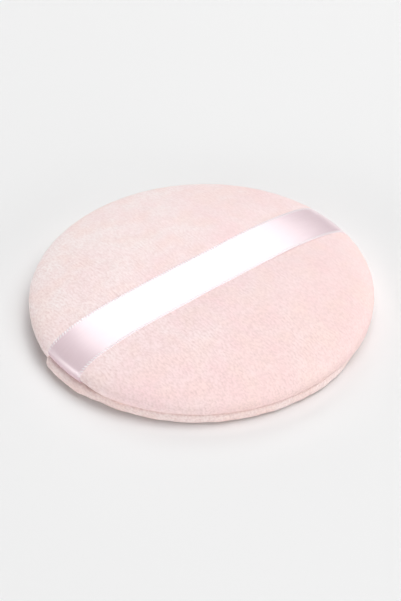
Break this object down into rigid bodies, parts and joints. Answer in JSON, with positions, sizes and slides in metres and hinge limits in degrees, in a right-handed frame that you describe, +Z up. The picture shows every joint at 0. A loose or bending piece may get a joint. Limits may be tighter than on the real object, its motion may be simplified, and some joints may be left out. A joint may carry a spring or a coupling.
{
  "type": "powder puff",
  "caption": "Round velour powder puff: a domed upper and a flat lower cover sewn together over a foam core, with a satin ribbon finger strap that lifts off the top.",
  "frame": {"origin": "middle of the flat underside", "axes": "+Z up through the puff's thickness, X along the ribbon strap, Y across it"},
  "size_m": [0.0804, 0.0804, 0.0106],
  "materials": {
    "velour": "short-pile pale pink velour",
    "foam": "open-cell polyurethane foam",
    "satin": "woven satin ribbon with a plain selvedge",
    "thread": "spun polyester sewing thread"
  },
  "bodies": {
    "puff": {"top_cover": "velour", "bottom_cover": "velour", "foam_core": "foam", "ribbon_tail_left": "satin", "ribbon_tail_right": "satin", "seam_thread": "thread", "closing_thread": "thread"},
    "strap": {"ribbon_strap": "satin"}
  },
  "joints": [
    {"name": "strap_lift", "type": "slide", "parent": "puff", "child": "strap", "axis": [0, 0, 1], "range_m": [0, 0.009]}
  ]
}
